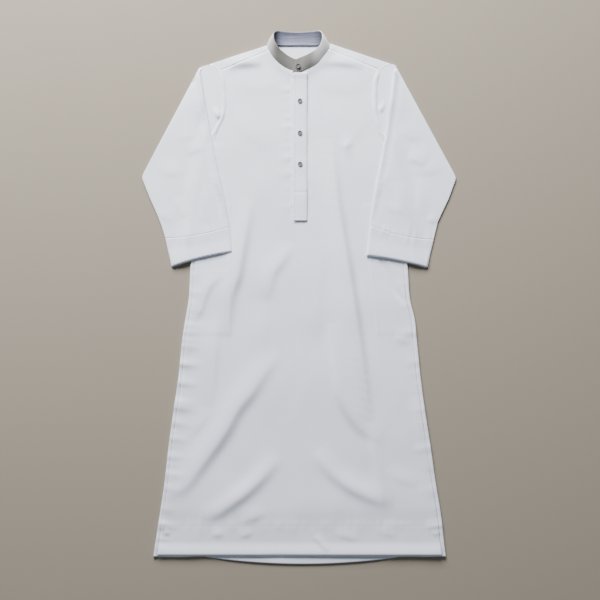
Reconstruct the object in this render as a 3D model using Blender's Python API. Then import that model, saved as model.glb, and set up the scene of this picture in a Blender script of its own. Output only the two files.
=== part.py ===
"""Thobe robe laid flat on its back: a closed front and back, a yoke, sleeves, cuffs, collar and placket.

+X is the wearer's left, +Y runs towards the collar, +Z up.  Lengths below are millimetres.
Every cloth piece is a wall on a grid of middle points: rows along the piece, stations across it.
"""
from math import cos, pi, radians, sin

import bmesh
import bpy
import numpy as np
from mathutils import Matrix, Vector

MM = 0.001

# Cloth
CLOTH = 1.2            # wall of one layer
HEM_CLOTH = 2.4        # turned hem, two layers
LAYER_GAP = 1.8        # air between two layers of the flat garment
REST_GAP = 0.6         # under a layer that only lies on another
SEAM_GAP = 0.3         # between two pieces that are sewn together
FOLD_RADIUS = (CLOTH + LAYER_GAP) / 2
FOLD_STEPS = 3         # segments round a fold
FRONT_UNDER = CLOTH + LAYER_GAP
FRONT_TOP = FRONT_UNDER + CLOTH

# Lengthwise places
HEM = -687.0
HEM_DEPTH = 83.0
BACK_HEM_DROP = 18.0
HEM_BOW = 276.0        # half width over which the back hem hangs lower
BACK_YOKE_SEAM = 520.0
ARMPIT = 418.0
FRONT_CORNER = 598.0   # where the front shoulder seam meets the armhole
SHOULDER_POINT = 617.0
ARMHOLE_TOP = SHOULDER_POINT - FOLD_RADIUS - CLOTH / 2
SLIT_END = 277.0

# Heights of the rows that the front and back share, so that their edges stay parallel
SHARED_HEIGHTS = (HEM, -645.0, HEM + HEM_DEPTH - 1, HEM + HEM_DEPTH + 1, *np.linspace(-560, SLIT_END, 16),
                  317.0, 357.0, 395.0, ARMPIT, 430.0, 443.0, 474.0)

YOKE_HEIGHTS = (BACK_YOKE_SEAM, 533.0, 565.0, FRONT_CORNER)

# Side wrap of the back panel, seen on the front
SIDE_LIP = 10.0
ARMHOLE_LIP = 3.0
NECK_LIP = 5.0
NECK_RIGHT, NECK_LEFT = -80.0, 75.0    # where the shoulder seams meet the collar

# Collar, placket, buttons
COLLAR_CLOTH = 1.6
COLLAR_ROWS = 4
PLACKET_RIGHT, PLACKET_LEFT = -14.8, 20.7
PLACKET_END, PLACKET_TOP = 201.4, 592.4
UNDERLAP_RIGHT, UNDERLAP_LEFT = -23.9, 11.0
UNDERLAP_SHORT_END, UNDERLAP_SHORT_TOP = 12.0, 3.0    # how much shorter than the placket at each end
# Turned section of a button, out and up from its seat: raised rim, dished middle, flat back
BUTTON_PROFILE = ((0, 0), (4.4, 0), (6.1, 0.9), (6.1, 1.9), (5.4, 2.6), (4.2, 2.3), (3.4, 1.7), (0, 1.7))
BUTTON_SEGMENTS = 20
BUTTON_PLAY = 0.15     # extra gap under the collar's button, which sits on a bowed face
# The collar's front face, which that button sits on: two places along +Y and the height of each
COLLAR_FACE = ((594.0, 9.0), (630.0, 13.5))

# Sleeves
UNDERARM_LIP = 9.0     # underarm seam to the sleeve's inner edge
SLEEVE_EASE = 0.9      # armhole seam to the sleeve's first and last points
ARMPIT_EASE = 5.0
ARMPIT_EASE_FROM = 450.0
ARMPIT_EASE_LENGTH = 18.0
LYING_REACH = 64.0     # past the body's edge, where a layer over it has come down to the ground
LYING_LENGTH = 40.0    # over which it comes down
PLEAT_INLINE = 10.0    # length the pleat's stations take once it has opened out
CUFF_PEEK = 5.0        # back of the cuff showing below its front
CUFF_BOW = -5.0        # sag of the cuff's end, which bows the other way


def table(columns, *rows):
    """A small table: one array for each named column."""
    return {name: np.array([row[k] for row in rows], float) for k, name in enumerate(columns.split())}


def read(rows, key, value, at):
    """Read a column at a value of the key column, whichever way the key runs."""
    order = np.argsort(rows[key])
    return np.interp(at, rows[key][order], rows[value][order])


# Outline of the body: wearer's right and left edges from the hem up to the armhole's top
BODY = table(
    "y right left",
    (-705, -389.0, 391.0),
    (-686, -386.0, 388.0),
    (-569, -368.0, 374.0),
    (-496, -357.0, 362.0),
    (-399, -346.0, 348.0),
    (-298, -332.0, 332.5),
    (-111, -309.0, 311.0),
    (-15, -293.0, 294.5),
    (86, -288.0, 287.0),
    (ARMPIT, -231.0, 224.0),
    (443, -221.0, 215.0),
    (474, -205.0, 207.0),
    (533, -199.5, 201.5),
    (565, -203.0, 202.5),
    (FRONT_CORNER, -212.0, 210.0),
    (ARMHOLE_TOP, -236.5, 237.0),
)

# Shoulder edges and back neckline, from the wearer's right to left
SHOULDER = table("x y", (-236.5, SHOULDER_POINT), (-85.5, 665), (-78, 662), (71, 662), (79, 671),
                 (237, SHOULDER_POINT))

# Front shoulder seams and front neckline
FRONT_EDGE = table(
    "x y",
    (-212, FRONT_CORNER), (-80, 653), (-70, 642), (-51.5, 619.5), (-31, 605), (-15, 596.5), (3, 594.5),
    (18, 604), (45, 619.5), (63, 639), (74, 655.5), (210, FRONT_CORNER),
)

# Largest folds of the front: start, middle and end, height and reach to each side
FOLDS = table(
    "x0 y0 x1 y1 x2 y2 height reach",
    (-103, 350, -145, 120, -179, -72, 3.0, 22),
    (107, 331, 150, 0, 212, -500, 5.0, 26),
    (-60, -151, -179, -337, -320, -527, 6.0, 30),
    (-38, -428, -128, -512, -224, -589, 4.0, 26),
    (75, -151, 121, -292, 177, -371, 3.0, 22),
    (70, -450, 145, -500, 256, -548, 4.0, 26),
    (-205, 53, -255, 5, -281, -82, 3.0, 18),
    (208, 95, 238, 30, 282, -26, 3.0, 18),
)

# Sleeves, measured outwards from the middle: pleat fold and inner edge, then outer edge
SLEEVES = {
    "right": {
        "side": -1,
        "inner": table("y out", (602, 264.5), (504, 247.5), (446, 236), (420, 232.5), (402, 227.5),
                       (358.5, 220), (297, 207), (249, 196), (184.3, 185.4), (119.3, 176)),
        "outer": table("y out", (617, 237), (606, 264.7), (318.5, 416), (258, 394), (218, 376),
                       (187, 364), (155.3, 354.3), (79.5, 337.6)),
        "seam": (184.3, 155.3),
        "end": (119.3, 79.5),
        "sag": 6.0,
    },
    "left": {
        "side": 1,
        "inner": table("y out", (611, 252), (518.5, 240.5), (447, 229), (420, 226), (402, 221.5),
                       (363, 215.5), (301.5, 202.5), (240, 193.5), (189.5, 187), (109, 177.3)),
        "outer": table("y out", (619, 237), (613, 254.7), (317, 416), (260, 396), (222, 378),
                       (198, 367), (152, 356), (77.4, 339.7)),
        "seam": (189.5, 152),
        "end": (109, 77.4),
        "sag": 9.0,
    },
}
# Heights of the sleeve's rows above the armpit, and how deep the pleat is there
ARMHOLE_ROWS = table("y pleat", (613, 0), (606, 0), (FRONT_CORNER, 0), (583, 8), (565, 12), (533, 17), (503, 18),
                     (474, 14), (443, 9), (430, 6))
TUBE_ROWS = table("inner outer", (420, 420), (402, 402), (358, 358), (318, 318), (284, 284), (249, 249), (218, 214))

# Collar band: lower edge, upper edge, and the bulge of its middle, from the under end at the
# front round the wearer's right side and the back to the end that laps over
COLLAR = table(
    "bx by bz tx ty tz gx gy",
    (13, 593.5, 5.6, 15, 632, 9.5, 0, 0),
    (-10, 593.5, 5.6, -4, 631, 10, 0, 0),
    (-32.3, 602, 5.8, -18, 635.5, 15, -1, -1),
    (-53.5, 617, 6, -35, 645, 21, -2, -2),
    (-73.4, 640, 6, -52, 659, 27, -3, -1),
    (-84, 660, 6.2, -63, 677, 30, -3, 1),
    (-82.5, 668.5, 6, -66.5, 690, 28, -4, 2),
    (-73, 667.5, 4.5, -69.5, 701, 20, -5, 1),
    (-58, 665.5, 2.2, -64, 705, 10, -2, 0),
    (-35, 664.5, 1.4, -38, 702.5, 5, 0, 0),
    (0, 664.5, 1.4, 0, 701.5, 4.5, 0, 0),
    (32, 664.5, 1.4, 34, 702.5, 5, 0, 0),
    (52, 666, 2.2, 57.5, 705, 10, 2, 0),
    (68, 670, 5, 61.5, 701, 20, 5, 1),
    (77.5, 674, 7, 60, 690, 28, 4, 2),
    (78.5, 660, 7, 56, 675, 30, 3, 1),
    (65.2, 637, 7.2, 44.5, 655, 27, 3, -1),
    (46.9, 617, 8, 27.5, 641, 22, 2, -2),
    (19.6, 602, 8.8, 8, 633, 16, 1, -1),
    (0, 595, 9, -1, 630, 13.5, 0, 0),
    (-17.8, 593.5, 9, -7, 629.5, 13.5, 0, 0),
)
INNER_BAND = (4, 17)   # first and last station of the inner band, where it shows

# Pocket bags: inner edge, and the distance kept from the side edge
POCKETS = {"right": table("y inner", (-98, 180), (246, 180)), "left": table("y inner", (-98, 205), (246, 168))}
POCKET_EDGE = 6.0

BUTTONS = ((1.9, 518.3), (1.9, 433.5), (2.4, 351.4))
COLLAR_BUTTON = (-3.0, 609.5)

MATERIALS = {
    "white_cloth": ((0.74, 0.75, 0.78), 0.9),
    "grey_cloth": ((0.32, 0.32, 0.31), 0.9),
    "lavender_cloth": ((0.42, 0.43, 0.52), 0.9),
    "button_plastic": ((0.24, 0.24, 0.27), 0.4),
}


def material(name):
    """The named Principled material, made once."""
    made = bpy.data.materials.get(name)
    if made is None:
        colour, roughness = MATERIALS[name]
        made = bpy.data.materials.new(name)
        made.use_nodes = True
        shader = made.node_tree.nodes["Principled BSDF"]
        shader.inputs["Base Color"].default_value = (*colour, 1.0)
        shader.inputs["Roughness"].default_value = roughness
        shader.inputs["Metallic"].default_value = 0.0
    return made


def add_object(name, bm, slot):
    """Put a finished bmesh in the scene as a named object."""
    bmesh.ops.recalc_face_normals(bm, faces=bm.faces[:])
    mesh = bpy.data.meshes.new(name)
    bm.to_mesh(mesh)
    bm.free()
    obj = bpy.data.objects.new(name, mesh)
    obj.data.materials.append(material(slot))
    bpy.context.scene.collection.objects.link(obj)
    return obj


def unit(vectors):
    """Vectors of an array brought to length one."""
    return vectors / np.maximum(np.linalg.norm(vectors, axis=-1, keepdims=True), 1e-9)


def wall_normals(grid, ring=False):
    """Unit normals of a grid of middle points, lengthened at folds so that the wall keeps its thickness."""
    if ring:
        before, after = np.roll(grid, 1, axis=1), np.roll(grid, -1, axis=1)
    else:
        before = np.concatenate([2 * grid[:, :1] - grid[:, 1:2], grid[:, :-1]], axis=1)
        after = np.concatenate([grid[:, 1:], 2 * grid[:, -1:] - grid[:, -2:-1]], axis=1)
    step_in, step_out = unit(grid - before), unit(after - grid)
    across = (step_in + step_out) / 2
    mitre = 1 / np.maximum(np.linalg.norm(across, axis=-1, keepdims=True), 0.7)
    along = np.gradient(grid, axis=0)
    return unit(np.cross(across, along)) * mitre


def cloth(name, grid, slot, thick=CLOTH, ring=False, skip=None):
    """A closed wall of cloth on a grid of middle points; skip says which cells are left open."""
    rows, stations = grid.shape[:2]
    offset = wall_normals(grid, ring) * (np.broadcast_to(thick, (rows, stations))[..., None] / 2)
    under, over = (grid - offset).reshape(-1, 3), (grid + offset).reshape(-1, 3)
    for skin in (under, over):
        skin[:, 2] = np.maximum(skin[:, 2], 0.0)
    bm = bmesh.new()
    place = bm.verts.layers.int.new("place")
    verts = []
    for k, point in enumerate(under):
        vert = bm.verts.new(Vector(point) * MM)
        vert[place] = k
        verts.append(vert)
    for row in range(rows - 1):
        for cell in range(stations if ring else stations - 1):
            if skip and skip(row, cell):
                continue
            nxt = (cell + 1) % stations
            low, high = row * stations, (row + 1) * stations
            bm.faces.new((verts[low + cell], verts[low + nxt], verts[high + nxt], verts[high + cell]))
    under_faces = bm.faces[:]
    raised = bmesh.ops.extrude_face_region(bm, geom=under_faces, use_keep_orig=True)
    for vert in raised["geom"]:
        if isinstance(vert, bmesh.types.BMVert):
            vert.co = Vector(over[vert[place]]) * MM
    bmesh.ops.delete(bm, geom=[v for v in bm.verts if not v.link_faces], context="VERTS")
    return add_object(name, bm, slot)


def fold_height(x, y):
    """Height that the front's folds add at a point."""
    total = np.zeros(np.broadcast(x, y).shape)
    for k in range(len(FOLDS["x0"])):
        row = {name: column[k] for name, column in FOLDS.items()}
        legs = ((row["x0"], row["y0"], row["x1"], row["y1"], 0.0), (row["x1"], row["y1"], row["x2"], row["y2"], 0.5))
        best = np.zeros(total.shape)
        for ax, ay, bx, by, start in legs:
            dx, dy = bx - ax, by - ay
            part = np.clip(((x - ax) * dx + (y - ay) * dy) / (dx * dx + dy * dy), 0, 1)
            away = np.hypot(x - ax - part * dx, y - ay - part * dy)
            taper = np.sin(pi * (start + part / 2)) ** 0.7
            best = np.maximum(best, taper * np.exp(-((away / row["reach"]) ** 2)))
        total = total + row["height"] * best
    return total


def arc(centre_out, centre_up, start, turn, radius=FOLD_RADIUS):
    """Points round a fold, from a start angle through a turn, both in degrees."""
    angles = [radians(start + turn * k / FOLD_STEPS) for k in range(FOLD_STEPS + 1)]
    return [(centre_out + radius * cos(a), centre_up + radius * sin(a)) for a in angles]


def run(a, b, steps):
    """Points on a straight run after its first point and before its last."""
    return [(a[0] + (b[0] - a[0]) * k / steps, a[1] + (b[1] - a[1]) * k / steps) for k in range(1, steps)]


def smooth(t):
    t = np.clip(t, 0, 1)
    return t * t * (3 - 2 * t)


def side_lip(y):
    """How far the back panel wraps on to the front at a height."""
    return np.interp(y, (395, 425), (SIDE_LIP, ARMHOLE_LIP))


def hem_thick(y):
    return np.where(np.asarray(y) < HEM + HEM_DEPTH, HEM_CLOTH, CLOTH)


def build_back():
    heights = np.array([*SHARED_HEIGHTS, BACK_YOKE_SEAM - SEAM_GAP])
    flat_steps = 8
    rows = []
    thick = hem_thick(heights)
    for y, wall in zip(heights, thick):
        right, left = read(BODY, "y", "right", y), read(BODY, "y", "left", y)
        lip = side_lip(y)
        reach = FOLD_RADIUS + wall / 2
        up = wall / 2 + FOLD_RADIUS
        fold_right = arc(right + reach, up, 90, 180)
        fold_left = arc(left - reach, up, -90, 180)
        line = [(right + lip, fold_right[0][1]), *fold_right]
        line += run(fold_right[-1], fold_left[0], flat_steps)
        line += [*fold_left, (left - lip, fold_left[-1][1])]
        drop = BACK_HEM_DROP * smooth((HEM + 2 * HEM_DEPTH - y) / HEM_DEPTH)
        rows.append([(x, y - drop * max(0.0, 1 - (x / HEM_BOW) ** 2), z) for x, z in line])
    cloth("back_panel", np.array(rows), "white_cloth", thick[:, None])


def build_front():
    shoulder_steps = 6
    neck = [-70, -51.5, -31, -15, 2, 4, 18, 31, 45, 63]
    columns = np.array([*np.linspace(-212, -80, shoulder_steps + 1), *neck, *np.linspace(74, 210, shoulder_steps + 1)])
    share = (columns - columns[0]) / (columns[-1] - columns[0])
    slit = int(np.searchsorted(columns, 3)) - 1
    heights = np.array([*SHARED_HEIGHTS, 503, 533, 565, FRONT_CORNER])
    edge_height = np.interp(columns, FRONT_EDGE["x"], FRONT_EDGE["y"]) - SEAM_GAP
    thick = hem_thick(heights)
    rows = []
    for y, wall in zip(heights, thick):
        inset = side_lip(y) + SEAM_GAP
        right, left = read(BODY, "y", "right", y) + inset, read(BODY, "y", "left", y) - inset
        x = right + (left - right) * share
        lift = smooth((y - ARMPIT) / (FRONT_CORNER - ARMPIT))
        high = y + (edge_height - FRONT_CORNER) * lift
        rows.append(np.stack([x, high, FRONT_UNDER + wall / 2 + fold_height(x, high)], axis=1))
    cloth("front_panel", np.array(rows), "white_cloth", thick[:, None],
          skip=lambda row, cell: cell == slit and heights[row] >= SLIT_END - 1)


def build_yoke():
    columns = np.array([*np.linspace(-236.5, -85.5, 7), -78, -40, -4, 32, 71, *np.linspace(79, 237, 7)])
    share = (columns - columns[0]) / (columns[-1] - columns[0])
    front_steps = 2
    back_share = (np.array(YOKE_HEIGHTS) - BACK_YOKE_SEAM) / (ARMHOLE_TOP - BACK_YOKE_SEAM)
    grid = []
    for x_edge, part in zip(columns, share):
        y_edge = float(np.interp(x_edge, SHOULDER["x"], SHOULDER["y"]))
        if x_edge < NECK_RIGHT:
            x_end = np.interp(x_edge, (-236.5, -85.5), (-212, -81))
        elif x_edge > NECK_LEFT:
            x_end = np.interp(x_edge, (79, 237), (75, 210))
        else:
            x_end = x_edge
        on_shoulder = x_edge < NECK_RIGHT or x_edge > NECK_LEFT
        y_end = float(np.interp(x_end, FRONT_EDGE["x"], FRONT_EDGE["y"])) if on_shoulder else y_edge - NECK_LIP
        fold_y = y_edge - FOLD_RADIUS - CLOTH / 2
        line = []
        for rise in back_share:
            y = BACK_YOKE_SEAM + (fold_y - BACK_YOKE_SEAM) * rise
            right, left = read(BODY, "y", "right", y), read(BODY, "y", "left", y)
            line.append((right + (left - right) * part, y, CLOTH / 2))
        line += [(x_edge, y, z) for y, z in arc(fold_y, FOLD_RADIUS + CLOTH / 2, -90, 180)]
        for k in range(1, front_steps + 1):
            step = k / front_steps
            line.append((x_edge + (x_end - x_edge) * step, fold_y + (y_end - fold_y) * step, FRONT_UNDER + CLOTH / 2))
        grid.append(line)
    cloth("yoke", np.array(grid), "white_cloth")


def lying_height(out, y, side):
    """Middle height of a layer that lies over the body's side edge and comes down to the ground."""
    edge = side * (read(BODY, "y", "left", y) if side > 0 else read(BODY, "y", "right", y))
    over = FRONT_TOP + REST_GAP + fold_height(side * out, y)
    return CLOTH / 2 + over * smooth((edge + LYING_REACH - out) / LYING_LENGTH)


def armhole_line(y, pleat, armhole, inner, outer, opened):
    """Section of the sleeve beside the armhole: strip, pleat, top layer, outer fold and back layer."""
    reach = FOLD_RADIUS + CLOTH / 2
    level = FRONT_UNDER + CLOTH / 2
    start = (armhole, level)
    if opened:
        bend = max(armhole + 1, min(inner, outer - reach - PLEAT_INLINE - 2))
        spread = min(PLEAT_INLINE, 0.7 * (outer - reach - bend))
        pleat_line = [(bend + spread * k / 8, level) for k in range(2 * FOLD_STEPS + 2)]
    else:
        hidden = inner + pleat - reach
        up = level + FOLD_RADIUS
        pleat_line = [*arc(hidden, up, -90, 180), *arc(inner + reach, up + 2 * FOLD_RADIUS, 270, -180)]
    outer_fold = arc(outer - reach, FOLD_RADIUS + CLOTH / 2, 90, -180)
    end = (armhole, CLOTH / 2)
    turn = (min(armhole + PLEAT_INLINE, outer - reach - 1), CLOTH / 2)
    top = [(out, up) for out, up in run(pleat_line[-1], outer_fold[0], 6)]
    line = [start, *run(start, pleat_line[0], 2), *pleat_line, *top, *outer_fold]
    line += [*run(outer_fold[-1], turn, 6), turn, *run(turn, end, FOLD_STEPS + 1), end]
    return [(out, y, up) for out, up in line]


def tube_line(y_inner, y_outer, inner, outer, side, sag, closed=False, peek=0.0):
    """Section of the flattened sleeve or cuff: top layer, outer fold, back layer, inner fold and its lip."""
    reach = FOLD_RADIUS + CLOTH / 2

    def ground(out):
        part = (out - inner) / (outer - inner)
        y = y_inner + (y_outer - y_inner) * part
        return y - sag * 4 * part * (1 - part), float(lying_height(out, y, side))

    def lifted(out, layers):
        y, up = ground(out)
        return out, y - (peek if layers == 0 else 0.0), up + layers * 2 * FOLD_RADIUS

    def turn(out, start, way):
        y, up = ground(out)
        return [(o, y, z) for o, z in arc(out, up + FOLD_RADIUS, start, way)]

    first = inner + reach if closed else inner + UNDERARM_LIP
    outer_turn, inner_turn = turn(outer - reach, 90, -180), turn(inner + reach, -90, -180)
    if closed:
        top = [lifted(out, 1) for out in np.linspace(first, outer - reach, 7)[1:-1]]
    else:
        opened = first + PLEAT_INLINE
        top = [lifted(first + (opened - first) * k / 9, 1) for k in range(2 * FOLD_STEPS + 4)]
        top += [lifted(out, 1) for out in np.linspace(opened, outer - reach, 7)[1:-1]]
    back = [lifted(out, 0) for out in np.linspace(outer - reach, inner + reach, 7)[1:-1]]
    line = [*top, *outer_turn, *back, *inner_turn]
    if not closed:
        line.append(lifted(first - SEAM_GAP, 1))
    return line


def build_sleeve(name, cut):
    side = cut["side"]
    edge = "left" if side > 0 else "right"
    rows = []
    for y, pleat in zip(ARMHOLE_ROWS["y"], ARMHOLE_ROWS["pleat"]):
        ease = SLEEVE_EASE + (ARMPIT_EASE - SLEEVE_EASE) * smooth((ARMPIT_EASE_FROM - y) / ARMPIT_EASE_LENGTH)
        armhole = side * float(read(BODY, "y", edge, y)) + ease
        inner, outer = float(read(cut["inner"], "y", "out", y)), float(read(cut["outer"], "y", "out", y))
        rows.append(armhole_line(y, pleat, armhole, inner, outer, pleat == 0))
    heights = [*zip(TUBE_ROWS["inner"], TUBE_ROWS["outer"]), cut["seam"]]
    for k, (y_inner, y_outer) in enumerate(heights):
        inner = float(read(cut["inner"], "y", "out", y_inner))
        outer = float(read(cut["outer"], "y", "out", y_outer))
        sag = cut["sag"] * max(0, k - len(heights) + 3) / 2
        rows.append(tube_line(y_inner, y_outer, inner, outer, side, sag))
    grid = np.array(rows)
    grid[..., 0] *= side
    cloth("sleeve_" + name, grid, "white_cloth")


def build_cuff(name, cut):
    side = cut["side"]
    rows = []
    for k in range(4):
        step = k / 3
        y_inner = cut["seam"][0] + (cut["end"][0] - cut["seam"][0]) * step - (SEAM_GAP if k == 0 else 0)
        y_outer = cut["seam"][1] + (cut["end"][1] - cut["seam"][1]) * step - (SEAM_GAP if k == 0 else 0)
        inner = float(read(cut["inner"], "y", "out", y_inner))
        outer = float(read(cut["outer"], "y", "out", y_outer))
        sag = cut["sag"] + (CUFF_BOW - cut["sag"]) * step
        rows.append(tube_line(y_inner, y_outer, inner, outer, side, sag, closed=True, peek=CUFF_PEEK * (k == 3)))
    grid = np.array(rows)
    grid[..., 0] *= side
    cloth("cuff_" + name, grid, "white_cloth", ring=True)


def collar_grid():
    """Middle points of the collar band, a row for each step up the band."""
    count = len(COLLAR["bx"])
    low = np.stack([COLLAR["bx"], COLLAR["by"], COLLAR["bz"]], axis=1)
    high = np.stack([COLLAR["tx"], COLLAR["ty"], COLLAR["tz"]], axis=1)
    bulge = np.stack([COLLAR["gx"], COLLAR["gy"], np.zeros(count)], axis=1)
    steps = [k / COLLAR_ROWS for k in range(COLLAR_ROWS + 1)]
    return np.array([low + (high - low) * s + bulge * 4 * s * (1 - s) for s in steps])


def build_collar():
    grid = collar_grid()
    cloth("collar_outer", grid, "grey_cloth", COLLAR_CLOTH)
    inward = -(COLLAR_CLOTH / 2 + SEAM_GAP + CLOTH / 2)
    first, last = INNER_BAND
    inner = (grid + wall_normals(grid) * inward * collar_facing())[:, first:last]
    cloth("collar_inner", inner, "lavender_cloth")


def collar_facing():
    """Sign that makes the grid's normals point out of the collar."""
    grid = collar_grid()
    middle = len(COLLAR["bx"]) // 2
    return -1.0 if wall_normals(grid)[2, middle, 2] > 0 else 1.0


def flat_strip(name, right, left, low, high, under, slot="white_cloth"):
    """A strip that lies on the front, cut to a rectangle."""
    grid = [[(x, y, under + CLOTH / 2) for x in np.linspace(right, left, 3)] for y in np.linspace(low, high, 5)]
    cloth(name, np.array(grid), slot)


def build_placket():
    under = FRONT_TOP + SEAM_GAP
    flat_strip("placket_underlap", UNDERLAP_RIGHT, UNDERLAP_LEFT, PLACKET_END + UNDERLAP_SHORT_END,
               PLACKET_TOP - UNDERLAP_SHORT_TOP, under)
    flat_strip("placket_top", PLACKET_RIGHT, PLACKET_LEFT, PLACKET_END, PLACKET_TOP, under + CLOTH + SEAM_GAP)


def build_pocket(name, side):
    edge = "left" if side > 0 else "right"
    rows = []
    for y in np.linspace(-98, 246, 6):
        outer = abs(float(read(BODY, "y", edge, y))) - POCKET_EDGE
        inner = float(read(POCKETS[name], "y", "inner", y))
        rows.append([(side * out, y, CLOTH + SEAM_GAP + CLOTH / 2) for out in np.linspace(inner, outer, 4)])
    cloth("pocket_" + name, np.array(rows), "white_cloth")


def add_button(name, place, tilt=0.0):
    """A turned button."""
    bm = bmesh.new()
    verts = [bm.verts.new(Vector((r, 0, h)) * MM) for r, h in BUTTON_PROFILE]
    edges = [bm.edges.new(pair) for pair in zip(verts, verts[1:])]
    bmesh.ops.spin(bm, geom=verts + edges, cent=(0, 0, 0), axis=(0, 0, 1), angle=2 * pi, steps=BUTTON_SEGMENTS,
                   use_merge=True)
    bmesh.ops.remove_doubles(bm, verts=bm.verts[:], dist=1e-6)
    bmesh.ops.transform(bm, matrix=Matrix.Rotation(tilt, 4, "X"), verts=bm.verts[:])
    obj = add_object(name, bm, "button_plastic")
    obj.location = Vector(place) * MM


def build_buttons():
    x, y = COLLAR_BUTTON
    (low_y, low_z), (high_y, high_z) = COLLAR_FACE
    slope = (high_z - low_z) / (high_y - low_y)
    height = low_z + slope * (y - low_y) + COLLAR_CLOTH / 2 + SEAM_GAP + BUTTON_PLAY
    add_button("button_1", (x, y, height), np.arctan(slope))
    level = FRONT_TOP + 2 * (SEAM_GAP + CLOTH) + SEAM_GAP
    for k, (x, y) in enumerate(BUTTONS):
        add_button(f"button_{k + 2}", (x, y, level))


def main():
    for obj in list(bpy.data.objects):
        bpy.data.objects.remove(obj, do_unlink=True)
    build_back()
    build_front()
    build_yoke()
    for name, cut in SLEEVES.items():
        build_sleeve(name, cut)
        build_cuff(name, cut)
        build_pocket(name, cut["side"])
    build_collar()
    build_placket()
    build_buttons()


main()
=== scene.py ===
import math
import random

import bmesh
import bpy
import numpy as np
from mathutils import Matrix, Vector
from mathutils.bvhtree import BVHTree


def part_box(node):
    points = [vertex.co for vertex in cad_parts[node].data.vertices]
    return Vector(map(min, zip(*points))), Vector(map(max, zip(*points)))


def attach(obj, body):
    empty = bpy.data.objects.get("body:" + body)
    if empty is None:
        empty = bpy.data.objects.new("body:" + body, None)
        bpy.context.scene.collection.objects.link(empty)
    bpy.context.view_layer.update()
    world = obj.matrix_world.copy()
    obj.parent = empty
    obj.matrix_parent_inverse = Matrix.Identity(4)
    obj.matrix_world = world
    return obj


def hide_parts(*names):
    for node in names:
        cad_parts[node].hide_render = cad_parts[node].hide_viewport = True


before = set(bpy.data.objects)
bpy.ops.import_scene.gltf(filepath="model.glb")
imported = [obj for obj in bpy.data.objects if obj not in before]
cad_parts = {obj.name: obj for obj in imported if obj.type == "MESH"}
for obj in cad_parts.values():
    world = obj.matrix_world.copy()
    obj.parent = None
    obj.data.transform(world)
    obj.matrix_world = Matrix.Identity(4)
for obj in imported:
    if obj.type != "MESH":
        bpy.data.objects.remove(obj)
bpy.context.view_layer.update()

mm = 0.001  # tables below are in millimetres, in the garment's own frame

# what every cloth piece shares
cloth = {
    "wall": 0.8,           # drawn thickness of one layer
    "level": 3.0,          # underside of the front
    "foldRadius": 1.5,     # half the rise from one layer to the next
    "lip": 10.0,           # back panel wrapped on to the front along the sides
    "lipArmhole": 3.0,     # the same beside the armholes
    "hemDepth": 83.0,      # turned hem of the front
    "backHemDrop": 20.0,   # the back's hem below the front's
    "armpit": 418.0,       # height of the armholes' feet
    "yokeSeamBack": 520.0,
    "neckRoll": 3.2,       # swell of the cloth where it is sewn to the collar
    "neckReach": 15.0,
}
hemEdge = round(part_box("front_panel")[0].y / mm, 1)
hemStitch = hemEdge + cloth["hemDepth"]
placketLow, placketHigh = (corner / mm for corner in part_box("placket_top"))


def columns(names, *rows):  # a short table, with one array for each named column
    return {name: np.array([row[k] for row in rows], float) for k, name in enumerate(names.split())}


def read(rows, key, value, at):  # straight between the rows
    order = np.argsort(rows[key])
    return np.interp(at, rows[key][order], rows[value][order])


def readSmooth(rows, key, value, at):  # one soft curve through the rows
    order = np.argsort(rows[key])
    keys, values = rows[key][order], rows[value][order]
    slopes = np.gradient(values, keys)
    k = np.clip(np.searchsorted(keys, at) - 1, 0, len(keys) - 2)
    gap = keys[k + 1] - keys[k]
    t = np.clip((at - keys[k]) / gap, 0, 1)
    start = (2 * t**3 - 3 * t**2 + 1) * values[k] + (t**3 - 2 * t**2 + t) * gap * slopes[k]
    return start + (3 * t**2 - 2 * t**3) * values[k + 1] + (t**3 - t**2) * gap * slopes[k + 1]


def smoothStep(t):
    t = np.clip(t, 0, 1)
    return t * t * (3 - 2 * t)


# outlines

bodyEdge = columns(
    "y right left",
    (-705, -389, 391), (-686, -386, 388), (-569, -368, 374), (-496, -357, 362), (-399, -346, 348),
    (-298, -332, 332.5), (-219, -320.5, 322), (-111, -309, 311), (-55, -300.5, 305), (-15, -293.5, 295),
    (86, -287, 286), (250, -259, 254.5), (418, -231, 224),
)
armhole = columns(
    "y right left",
    (418, -231, 224), (443, -221, 215), (474, -206, 206.5), (503, -200.5, 201.5), (533, -199.5, 201.5),
    (565, -202.5, 203), (585, -207, 207), (598, -212, 211.5), (608, -222, 221), (615, -236.5, 237),
)
shoulder = columns("x y", (-236.5, 615.6), (-85.5, 665), (-78, 670), (71, 670), (79, 671), (237, 618))
frontTop = columns(
    "x y",
    (-212, 598), (-92, 648), (-80, 653), (-70, 642), (-51.5, 619.5), (-31, 605), (-15, 596.5), (3, 594.5),
    (18, 604), (45, 619.5), (63, 639), (74, 655.5), (79.5, 655), (211.5, 602),
)


def bodySide(y, edge):
    y = np.asarray(y, float)
    below, above = (readSmooth(rows, "y", edge, y) for rows in (bodyEdge, armhole))
    return np.where(y < cloth["armpit"], below, above)


# folds, creases and puckers

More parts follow.
